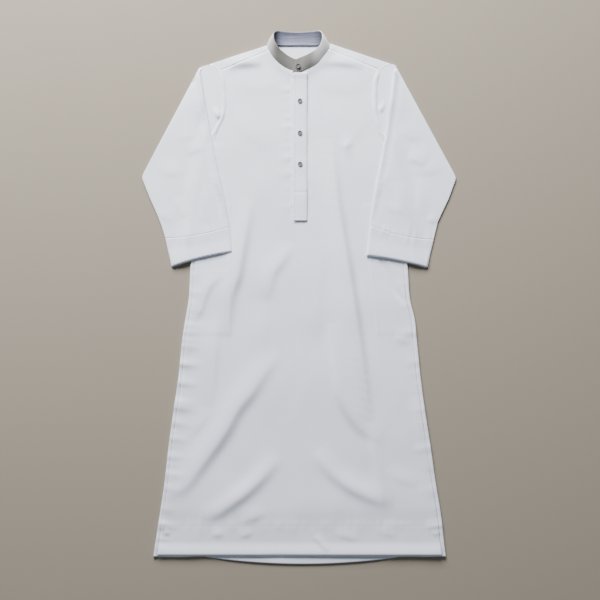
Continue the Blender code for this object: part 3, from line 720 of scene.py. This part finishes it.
# strip beside the armhole, knife pleat, top layer, outer fold and back layer, at one height
def armholeSection(y, deep, start, inner, outer, side):
    reach = cloth["foldRadius"] + cloth["wall"] / 2
    level = cloth["level"] + cloth["wall"] / 2 + 0.3
    steps = sleeve["foldSteps"]
    lying = smoothStep((sleeve["lieFrom"] - y) / sleeve["lieLength"])
    fold = cloth["foldRadius"] - sleeve["pressed"] * lying
    edge = fold + cloth["wall"] / 2
    opened = smoothStep(1 - deep / 5)
    bend = max(start + 1, min(inner, outer - reach - 12))
    spread = min(10.0, 0.7 * (outer - reach - bend))
    count = 2 * (steps + 1) + sleeve["midSteps"] - 1
    flat = np.array([(bend + spread * k / count, level) for k in range(count)])
    lower = arc(inner + max(deep, 5) - edge, level + fold, -90, 180, steps, fold)
    higher = arc(inner + edge, level + 3 * fold, 270, -180, steps, fold)
    pleated = np.array([*lower, *between(lower[-1], higher[0], sleeve["midSteps"]), *higher])
    pleat = flat * opened + pleated * (1 - opened)
    outerFold = arc(outer - reach, reach + 0.1, 90, -180, steps)
    overlap = sleeve["seamOver"]
    strip = []
    for k in range(sleeve["stripSteps"]):
        out = start - overlap + (pleat[0][0] - start + overlap) * k / sleeve["stripSteps"]
        strip.append((out, level + sleeve["seamRise"] * smoothStep((start + 3.5 - out) / 5)))
    top = between(pleat[-1], outerFold[0], sleeve["topSteps"])
    top = [(out, up + (overBody(out, y, side) + 2 * cloth["foldRadius"] - up) * lying) for out, up in top]
    turnAt = (min(start + 10, outer - reach - 1), cloth["wall"] / 2 + 0.1)
    end = (start, cloth["wall"] / 2 + 0.1)
    lip = steps + 2
    line = [*strip, *map(tuple, pleat), *top, *outerFold]
    line += [*between(outerFold[-1], turnAt, sleeve["backSteps"]), turnAt, *between(turnAt, end, lip), end]
    marks = [0.5] * len(strip) + [0.0] * len(pleat) + [1.0] * len(top)
    marks += [0.0] * (len(line) - len(marks))
    return [(out, y, high) for out, high in line], marks


# flattened tube: top layer, outer fold, back layer and inner fold, and a lapped seam unless it is closed
def tubeSection(yInner, yOuter, inner, outer, side, sag, closed=False, peek=0.0):
    reach = cloth["foldRadius"] + cloth["wall"] / 2
    steps = sleeve["foldSteps"]

    def ground(out):
        part = (out - inner) / (outer - inner)
        y = yInner + (yOuter - yInner) * part - sag * 4 * part * (1 - part)
        return y, float(overBody(out, y, side))

    def lifted(out, layers):
        y, up = ground(out)
        return out, y - (0 if layers else peek), up + layers * 2 * cloth["foldRadius"]

    def turn(out, start, way):
        y, up = ground(out)
        return [(o, y, z) for o, z in arc(out, up + cloth["foldRadius"], start, way, steps)]

    outerFold, innerFold = turn(outer - reach, 90, -180), turn(inner + reach, -90, -180)
    across = np.linspace(inner + reach, outer - reach, sleeve["topSteps"] + 1)
    top = [lifted(out, 1) for out in across[1:-1]]
    backEnd = inner + (reach if closed else sleeve["backEnd"])
    back = [lifted(out, 0) for out in np.linspace(outer - reach, backEnd, sleeve["backSteps"] + 1)[1:]]
    if closed:
        line = [*top, *outerFold, *back[:-1], *innerFold]
        return line, [1.0] * len(top) + [0.0] * (len(line) - len(top))
    lapEnd = inner + sleeve["lapEnd"]
    count = sleeve["stripSteps"] + steps + sleeve["midSteps"]
    hidden = []
    for out in np.linspace(lapEnd + sleeve["lap"], inner + reach, count + 1)[:-1]:
        x, y, z = lifted(out, 0)
        hidden.append((x, y, z + sleeve["lapRise"] * smoothStep((out - inner - 3) / 3)))
    lip = [lifted(out, 0) for out in np.linspace(backEnd, lapEnd, steps + 3)[1:]]
    line = [*hidden, *innerFold, *top, *outerFold, *back, *lip]
    before = len(hidden) + len(innerFold)
    return line, [0.0] * before + [1.0] * len(top) + [0.0] * (len(line) - before - len(top))


def sleeveRelief(name, x, y, cut):
    side = cut["side"]
    total = 0.75 * ridges(sleeveFolds[name], x, y) + 0.8 * waves(frontWaves, x + 90, y - 40)
    innerRun = np.linspace(415, cut["seam"][0], 24)
    under = np.stack([side * (read(cut["inner"], "y", "out", innerRun) + 9), innerRun], axis=1)
    total += puckers(x, y, under, 61 + side, 24, 0.35, 12, 6, 0.5 if side < 0 else 0.25)
    total += puckers(x, y, cuffSeam(cut), 71 + side, 13, 1.5, 17, 6, 0.2)
    beside = side * x - np.interp(y, cut["inner"]["y"][::-1], cut["inner"]["out"][::-1])
    edge = 2.0 * np.exp(-((beside - 6) / 4) ** 2) - 2.3 * np.exp(-((beside - 18) / 8) ** 2)
    total += edge * (1.0 if side < 0 else 0.4) * smoothStep((y - 190) / 60) * smoothStep((600 - y) / 30)
    return total


def cuffSeam(cut, away=0.0):
    part = np.linspace(0, 1, 24)
    inner, outer = cut["seam"]
    y = inner + (outer - inner) * part - cut["sag"] * 4 * part * (1 - part)
    start, end = sleeveEdges(cut, inner, outer)
    return np.stack([cut["side"] * (start + (end - start) * part), y + away], axis=1)


def buildSleeve(name, cut):
    side = cut["side"]
    edge = "left" if side > 0 else "right"
    lines, marks = [], []
    top = read(cut["outer"], "out", "y", [239.5])[0] + 0.3
    heights = top - (top - sleeve["upperEnd"]) * np.linspace(0, 1, sleeve["upperRows"]) ** 0.9
    for y in heights:
        ease = 0.5 + 4.5 * smoothStep((452 - y) / 20)
        start = side * float(readSmooth(armhole, "y", edge, y)) + ease
        inner, outer = sleeveEdges(cut, y, y)
        deep = float(np.interp(-y, -pleatDepth["y"], pleatDepth["deep"]))
        line, mark = armholeSection(y, deep, start, inner, outer, side)
        lines.append(line)
        marks.append(mark)
    pairs = columns("inner outer", (sleeve["lowerStart"],) * 2, (318, 318), (249, 249), cut["seam"])
    for t in np.linspace(0, 3, sleeve["lowerRows"]):
        yInner, yOuter = np.interp(t, range(4), pairs["inner"]), np.interp(t, range(4), pairs["outer"])
        inner, outer = sleeveEdges(cut, yInner, yOuter)
        line, mark = tubeSection(yInner, yOuter, inner, outer, side, cut["sag"] * smoothStep(t - 2))
        lines.append(line)
        marks.append(mark)
    grid, mark = np.array(lines), np.array(marks)
    grid[..., 0] *= side
    part = np.linspace(0, 1, mark.shape[1])
    grid[..., 2] += mark * sleeveRelief(name, grid[..., 0], grid[..., 1], cut) * smoothStep(part / 0.02)
    grid[..., 2] = np.maximum(grid[..., 2], cloth["wall"] / 2)
    piece = makeSheet("sleeve" + name.capitalize(), grid, cloth["wall"], white)
    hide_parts("sleeve_" + name)


welt = {
    "low": 416, "high": 614, "rows": 94, "across": 13,
    "wide": 16.0, "rise": 2.5, "level": 3.4, "wall": 0.7,
}


def buildWelt(name, cut):  # felled seam that stands up along the armhole
    side = cut["side"]
    heights = np.linspace(welt["low"], welt["high"], welt["rows"])
    path = np.stack([side * readSmooth(armhole, "y", name, heights), heights], axis=1)
    top = read(cut["outer"], "out", "y", [239.5])[0]
    path = np.vstack([path[:-2], [[236.0, top - 0.5]]])
    way = np.gradient(path, axis=0)
    way /= np.linalg.norm(way, axis=1, keepdims=True)
    across = np.linspace(-1, 1, welt["across"])
    run = np.linspace(0, 1, len(path))
    reach = welt["wide"] / 2 * np.clip((1 - run) / 0.06, 0.35, 1)
    armpit = 4.5 * smoothStep((438 - path[:, 1, None]) / 14)
    x = path[:, 0, None] - 1.2 + armpit + way[:, 1, None] * across * reach[:, None]
    y = path[:, 1, None] - way[:, 0, None] * across * reach[:, None]
    draw = random.Random(91 + side)
    phase = draw.uniform(0, 6)
    uneven = 1 + 0.22 * np.sin(path[:, 1] / 9 + phase) * np.sin(path[:, 1] / 23 + 2 * phase)
    fading = (uneven * smoothStep((1 - run) / 0.16))[:, None]
    z = welt["level"] + welt["rise"] * (1 - across**2) ** 1.4 * fading
    grid = np.stack([side * x, y, z], axis=2)
    piece = makeSheet("welt" + name.capitalize(), grid if side > 0 else grid[:, ::-1], welt["wall"], white)


cuff = {"rows": 34, "wall": 1.1, "swell": 2.6, "peek": 2.2, "endDrop": 2.4}


def buildCuff(name, cut):
    side = cut["side"]
    lines, marks = [], []
    for step in np.linspace(0, 1, cuff["rows"]).tolist():
        start = 0.4 * (1 - step)
        yInner = cut["seam"][0] + (cut["end"][0] - cut["seam"][0]) * step - start
        yOuter = cut["seam"][1] + (cut["end"][1] - cut["seam"][1]) * step - start
        inner, outer = sleeveEdges(cut, yInner, yOuter)
        sag = cut["sag"] + (cut["bow"] - cut["sag"]) * step
        peek = cuff["peek"] * smoothStep(3 * step - 2)
        line, mark = tubeSection(yInner, yOuter, inner, outer, side, sag, closed=True, peek=peek)
        lines.append([*line, line[0]])
        marks.append([*mark, mark[0]])
    grid, mark = np.array(lines), np.array(marks)
    grid[..., 0] *= side
    x, y = grid[..., 0], grid[..., 1]
    down = np.abs(alongSeam(x, y, cuffSeam(cut))[1])
    relief = puckers(x, y, cuffSeam(cut), 71 + side, 13, 1.4, 15, 6, 0.1)
    relief = relief + 0.6 + cuff["swell"] * smoothStep((down - 22) / 44)
    relief -= cuff["endDrop"] * smoothStep((np.linspace(0, 1, cuff["rows"])[:, None] - 0.95) / 0.05)
    relief += puckers(x, y, cuffSeam(cut, -72), 81 + side, 18, 0.3, 10, 6, 0.0)
    relief += 0.4 * waves(frontWaves, x, y)
    grid[..., 2] += mark * relief
    piece = makeSheet("cuff" + name.capitalize(), grid, cuff["wall"], white, ring=True)
    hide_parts("cuff_" + name)


# collar

collarBand = columns(
    "bx by bz tx ty tz gx gy gz",
    (13, 592.8, 6.0, 15, 632, 9.5, 0, 0, 0),
    (-10, 592.8, 6.0, -6, 627.5, 10, 0, 0, 0),
    (-32.3, 601, 5.4, -25, 633.6, 14, -1, -1, 1),
    (-53.5, 616, 5.4, -44, 645.7, 20, -2, -2, 1),
    (-73.4, 639, 5.4, -56, 656.4, 25, -2, -1, 1),
    (-84.3, 660, 5.6, -64.4, 670.5, 27, -2, 1, 1),
    (-83, 668.5, 5.6, -67, 683, 26, -2, 2, 1),
    (-75, 671, 4.5, -66.5, 694.5, 20, -3, 1, 0),
    (-58, 665.5, 2.2, -58.5, 701.8, 14, -2, 0, -2),
    (-35, 664.5, 1.6, -37, 701.0, 10, 0, 0, -2.5),
    (0, 664.5, 1.6, 0, 699.3, 9, 0, 0, -2.5),
    (32, 664.5, 1.6, 32, 701.0, 10, 0, 0, -2.5),
    (52, 666, 2.2, 51.5, 701.8, 14, 2, 0, -2),
    (69, 672, 5, 59.3, 694.5, 20, 3, 1, 0),
    (77.5, 672, 6.8, 60.3, 681, 22, 1, 1, 1),
    (78.8, 658, 6.8, 56.5, 666.7, 21, 0, 0, 1.5),
    (65.2, 636, 6.8, 49, 656.5, 19.5, 0, -1, 1.5),
    (46.9, 616, 6.8, 37, 647.4, 17.5, 0, -1, 1.5),
    (19.6, 601, 7.4, 18, 637.2, 15.5, 0, -1, 1),
    (0, 594, 7.6, 2, 631.2, 13.5, 0, 0, 0),
    (-17.8, 592.5, 7.6, -7, 627.2, 13.2, 0, 0, 0),
)
collar = {"around": 220, "up": 16, "wall": 1.5}
innerBand = {"around": 150, "from": 4, "to": 16, "wall": 0.9, "inset": 1.65}  # from, to: rows of the table


def collarMiddle(stations):
    rows = dict(collarBand, at=np.arange(len(collarBand["bx"]), dtype=float))
    low = np.stack([readSmooth(rows, "at", name, stations) for name in ("bx", "by", "bz")], axis=1)
    high = np.stack([readSmooth(rows, "at", name, stations) for name in ("tx", "ty", "tz")], axis=1)
    bulge = np.stack([readSmooth(rows, "at", name, stations) for name in ("gx", "gy", "gz")], axis=1)
    steps = np.linspace(0, 1, collar["up"] + 1)
    return np.array([low + (high - low) * s + bulge * 4 * s * (1 - s) for s in steps])


def outward(grid):  # unit normals of a grid, out of the collar: at the back of the neck they point down
    normals = np.cross(np.gradient(grid, axis=1), np.gradient(grid, axis=0))
    normals /= np.linalg.norm(normals, axis=2, keepdims=True)
    return -normals if normals[4, grid.shape[1] // 2, 2] > 0 else normals


def buildCollar():
    last = len(collarBand["bx"]) - 1
    grid = collarMiddle(np.linspace(0, last, collar["around"]))
    up = np.linspace(0, 1, grid.shape[0])[:, None]
    around = np.linspace(0, 60, grid.shape[1])[None, :]
    swell = 0.35 * np.sin(math.pi * up) + 0.12 * np.sin(around * 1.3) * np.sin(3.1 * up + around * 0.2)
    piece = makeSheet("collarOuter", grid + outward(grid) * swell[..., None], collar["wall"], grey)
    edge = piece.modifiers.new("edge", "BEVEL")
    edge.width, edge.segments = 0.4 * mm, 2
    edge.limit_method, edge.angle_limit = "ANGLE", math.radians(50)
    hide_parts("collar_outer")
    inner = collarMiddle(np.linspace(innerBand["from"], innerBand["to"], innerBand["around"]))
    inner = inner - outward(inner) * innerBand["inset"]
    inside = makeSheet("collarInner", inner, innerBand["wall"], lavender)
    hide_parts("collar_inner")


# placket

placket = {"rows": 150, "across": 18, "wall": 1.0, "underWall": 0.8, "slitStitch": 277, "footStitch": 208.6}


def flatStrip(name, right, left, low, high, under, wall, node, relief):
    x, y = np.meshgrid(np.linspace(right, left, placket["across"]), np.linspace(low, high, placket["rows"]))
    z = np.full(x.shape, under + wall / 2) + relief(x, y)
    piece = makeSheet(name, np.stack([x, y, z], axis=2), wall, white)
    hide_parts(node)


def stripRelief(x, y):
    total = 0.45 * np.sin(y / 41 + 1) * np.sin(x / 19) + 0.3 * np.sin(y / 13 + 0.6 * np.sin(y / 29))
    for edge, inset in ((placketLow.x, 4), (placketHigh.x, -4)):
        total -= 0.45 * np.exp(-((x - edge - inset) / 1.8) ** 2)
    total -= 0.7 * np.exp(-((y - placket["slitStitch"]) / 2.4) ** 2)
    total -= 0.3 * np.exp(-((y - placket["footStitch"]) / 1.8) ** 2)
    total += 0.9 * np.exp(-((x - placketLow.x) / 2.4) ** 2)
    total -= 0.8 * np.exp(-((x - placketHigh.x) / 2.4) ** 2)
    return total + 1.9 * smoothStep((y - 572) / 20)


def buildPlacket():
    low, high = (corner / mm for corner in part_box("placket_underlap"))

    def underRelief(x, y):
        return 0.3 * np.sin(y / 17 + np.sin(y / 31)) - 3.0 * smoothStep((low.y + 34 - y) / 30)

    flatStrip("placketUnderlap", low.x, high.x, low.y, high.y, low.z, placket["underWall"],
              "placket_underlap", underRelief)
    flatStrip("placketTop", placketLow.x, placketHigh.x, placketLow.y, placketHigh.y, placketLow.z,
              placket["wall"], "placket_top", stripRelief)


# buttons

button = {
    "segments": 48,
    "hole": 0.75, "holeOut": 1.45,                   # radius, and distance from the middle
    "threadHalf": (0.16, 1.3, 0.16), "lanes": (-0.3, 0.0, 0.3),
    "collarSlope": 4.5 / 36, "collarLift": 0.6,      # the top button follows the collar
}
# half section from the middle of the underside over the raised rim: radius, height
buttonProfile = ((0, 0.2), (4.6, 0.1), (5.7, 0.45), (6.1, 1.1), (6.0, 1.9), (5.6, 2.45), (5.1, 2.6),
                 (4.6, 2.45), (4.0, 1.95), (3.2, 1.65), (1.6, 1.55), (0, 1.55))


def buildButtons():
    for k in range(1, 5):
        node = "button_" + str(k)
        low, high = (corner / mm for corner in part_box(node))
        middle = (low + high) / 2
        tilt, lift = (math.atan(button["collarSlope"]), button["collarLift"]) if k == 1 else (0.0, 0.0)
        bm = bmesh.new()
        verts = [bm.verts.new((r * mm, 0, h * mm)) for r, h in buttonProfile]
        edges = [bm.edges.new(pair) for pair in zip(verts, verts[1:])]
        bmesh.ops.spin(bm, geom=verts + edges, cent=(0, 0, 0), axis=(0, 0, 1), angle=2 * math.pi,
                       steps=button["segments"], use_merge=True)
        bmesh.ops.remove_doubles(bm, verts=bm.verts[:], dist=1e-6)
        bmesh.ops.recalc_face_normals(bm, faces=bm.faces[:])
        holes = bmesh.new()
        threads = bmesh.new()
        for a in (45, 135, 225, 315):
            spot = Vector((math.cos(math.radians(a)), math.sin(math.radians(a)), 0))
            spot = spot * button["holeOut"] * mm
            place = Matrix.Translation(spot + Vector((0, 0, 1.3 * mm)))
            bmesh.ops.create_cone(holes, cap_ends=True, segments=16, radius1=button["hole"] * mm,
                                  radius2=button["hole"] * mm, depth=4 * mm, matrix=place)
        for shift in (-1, 1):  # two bars of thread over the bridge
            for lane in button["lanes"]:
                place = Matrix.Translation(Vector((shift * button["holeOut"] * 0.707 + lane, 0, 1.75)) * mm)
                scale = Matrix.Diagonal((*button["threadHalf"], 1))
                bmesh.ops.create_icosphere(threads, subdivisions=2, radius=mm, matrix=place @ scale)
        turn = Matrix.Rotation(tilt, 4, "X")
        seat = Matrix.Translation(Vector((middle.x, middle.y, low.z + lift)) * mm) @ turn
        parts = {}
        shapes = (("button", bm, buttonLook), ("holes", holes, buttonLook), ("thread", threads, greyThread))
        for title, shape, look in shapes:
            bmesh.ops.transform(shape, matrix=seat, verts=shape.verts[:])
            parts[title] = newPiece(title + str(k), shape, look)
        cut = parts["button"].modifiers.new("holes", "BOOLEAN")
        cut.object, cut.operation, cut.solver = parts["holes"], "DIFFERENCE", "EXACT"
        graph = bpy.context.evaluated_depsgraph_get()
        cutMesh = bpy.data.meshes.new_from_object(parts["button"].evaluated_get(graph))
        parts["button"].modifiers.clear()
        parts["button"].data = cutMesh
        cutMesh.shade_smooth()
        cutMesh.set_sharp_from_angle(angle=math.radians(40))
        bpy.data.objects.remove(parts["holes"], do_unlink=True)
        parts["thread"].data.shade_smooth()
        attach(parts["button"], "root")
        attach(parts["thread"], "root")
        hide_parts(node)


# stitches

stitch = {"length": 2.6, "gap": 1.3, "width": 0.42, "high": 0.24, "steepest": 1.5}  # no stitch over a step


def surfaceTrees(names):
    bpy.context.view_layer.update()
    graph = bpy.context.evaluated_depsgraph_get()
    return [BVHTree.FromObject(made[name], graph) for name in names]


def topAt(trees, x, y):  # height of the uppermost cloth, or -1 beside it
    highest = -1.0
    for tree in trees:
        hit = tree.ray_cast(Vector((x * mm, y * mm, 0.2)), Vector((0, 0, -1)))
        if hit[0] is not None:
            highest = max(highest, hit[0].z / mm)
    return highest


def stitchRows(name, rows, on):
    trees = surfaceTrees(on)
    bm = bmesh.new()
    for path in rows:
        path = [Vector((float(x), float(y))) for x, y in path]
        step = stitch["length"] + stitch["gap"]
        for a, b in zip(path[:-1], path[1:]):
            length = (b - a).length
            count = max(1, round(length / step))
            way = (b - a) / length
            for k in range(count):
                spot = a + way * (length * (k + 0.5) / count)
                half = stitch["length"] / 2
                heights = [topAt(trees, *(spot + way * s)) for s in (-half, half)]
                if min(heights) < 0 or abs(heights[0] - heights[1]) > stitch["steepest"]:
                    continue
                slope = math.atan2(heights[1] - heights[0], stitch["length"])
                place = Matrix.Translation(Vector((spot.x, spot.y, sum(heights) / 2 + 0.05)) * mm)
                turn = Matrix.Rotation(math.atan2(way.y, way.x), 4, "Z") @ Matrix.Rotation(-slope, 4, "Y")
                scale = Matrix.Diagonal((half, stitch["width"] / 2, stitch["high"] / 2, 1))
                bmesh.ops.create_icosphere(bm, subdivisions=1, radius=mm, matrix=place @ turn @ scale)
    piece = newPiece(name, bm, whiteThread)
    piece.data.shade_smooth()
    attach(piece, "root")


def shifted(path, away):  # a path moved sideways
    path = np.asarray(path, float)
    way = np.gradient(path, axis=0)
    way /= np.linalg.norm(way, axis=1, keepdims=True)
    return path + np.stack([-way[:, 1], way[:, 0]], axis=1) * away


def buildStitches():
    stitchRows("hemStitches", [[(-372, hemStitch), (374, hemStitch)]], ["frontPanel"])
    x0, x1, y0, y1 = placketLow.x, placketHigh.x, placketLow.y, placketHigh.y
    rows = [[(x0 + 2.2, y0 + 2), (x0 + 2.2, y1 - 2)], [(x1 - 2.2, y0 + 2), (x1 - 2.2, y1 - 2)],
            *([(x0 + 2.2, y), (x1 - 2.2, y)] for y in (placket["slitStitch"], placket["footStitch"]))]
    stitchRows("placketStitches", rows, ["placketTop"])
    rows = [[(x0 - 9.2, 214), (x0 - 9.2, 590)], [(x1 + 8, 204), (x1 + 8, 592)]]
    stitchRows("frontEdgeStitches", rows, ["frontPanel", "placketUnderlap"])
    rows = [shifted(yokeSeam(-1), 3.0), shifted(yokeSeam(1), -3.0)]
    stitchRows("yokeStitches", rows, ["shoulderYoke"])
    rows = [armholeSeam("right", 3.2)[2:-3], armholeSeam("left", 3.2)[2:-3]]
    stitchRows("armholeStitches", rows, ["frontPanel", "shoulderYoke"])
    rows = [cuffSeam(cut, -4.0)[1:-1] for cut in sleeveCuts.values()]
    stitchRows("cuffStitches", rows, ["cuffRight", "cuffLeft"])
    rows = [[(start, pocket["line"]), (end, pocket["line"])] for start, end in ((-182, -285), (190, 284))]
    stitchRows("pocketStitches", rows, ["frontPanel"])


# floor, light and camera

stage = {
    "key": 470.0,                          # watts of the window light
    "keySize": (2.6, 1.3),                 # metres
    "keyPlace": (-0.8, 2.9, 1.45),
    "keyAim": (0, 0.1, 0),
    "keyColour": (1.0, 0.985, 0.96),
    "fill": 0.22,                          # strength of the sky
    "fillColour": (0.86, 0.93, 1.0, 1.0),
    "lens": 58.9,                          # mm, on a 36 mm sensor
    "camera": (0.002, -0.008, 2.6),
}


def buildStage():
    bm = bmesh.new()
    bmesh.ops.create_grid(bm, x_segments=1, y_segments=1, size=6)
    floor = newPiece("floor", bm, paper)
    lamp = bpy.data.lights.new("window", "AREA")
    lamp.shape = "RECTANGLE"
    lamp.size, lamp.size_y = stage["keySize"]
    lamp.energy = stage["key"]
    lamp.color = stage["keyColour"]
    key = bpy.data.objects.new("window", lamp)
    key.location = stage["keyPlace"]
    key.rotation_euler = (Vector(stage["keyAim"]) - key.location).to_track_quat("-Z", "Y").to_euler()
    bpy.context.scene.collection.objects.link(key)
    world = bpy.data.worlds.new("studio")
    world.use_nodes = True
    world.node_tree.nodes["Background"].inputs["Color"].default_value = stage["fillColour"]
    world.node_tree.nodes["Background"].inputs["Strength"].default_value = stage["fill"]
    bpy.context.scene.world = world
    lens = bpy.data.cameras.new("camera")
    lens.sensor_width, lens.lens = 36.0, stage["lens"]
    camera = bpy.data.objects.new("camera", lens)
    camera.location = stage["camera"]
    bpy.context.scene.collection.objects.link(camera)
    bpy.context.scene.camera = camera


buildStage()
buildBack()
buildFront()
print("body made")
buildPockets()
buildYoke()
buildCollar()
buildPlacket()
print("collar and placket made")
for cutName, cut in sleeveCuts.items():
    buildSleeve(cutName, cut)
    buildWelt(cutName, cut)
    buildCuff(cutName, cut)
print("sleeves made")
buildButtons()
buildStitches()
print("buttons and stitches made")
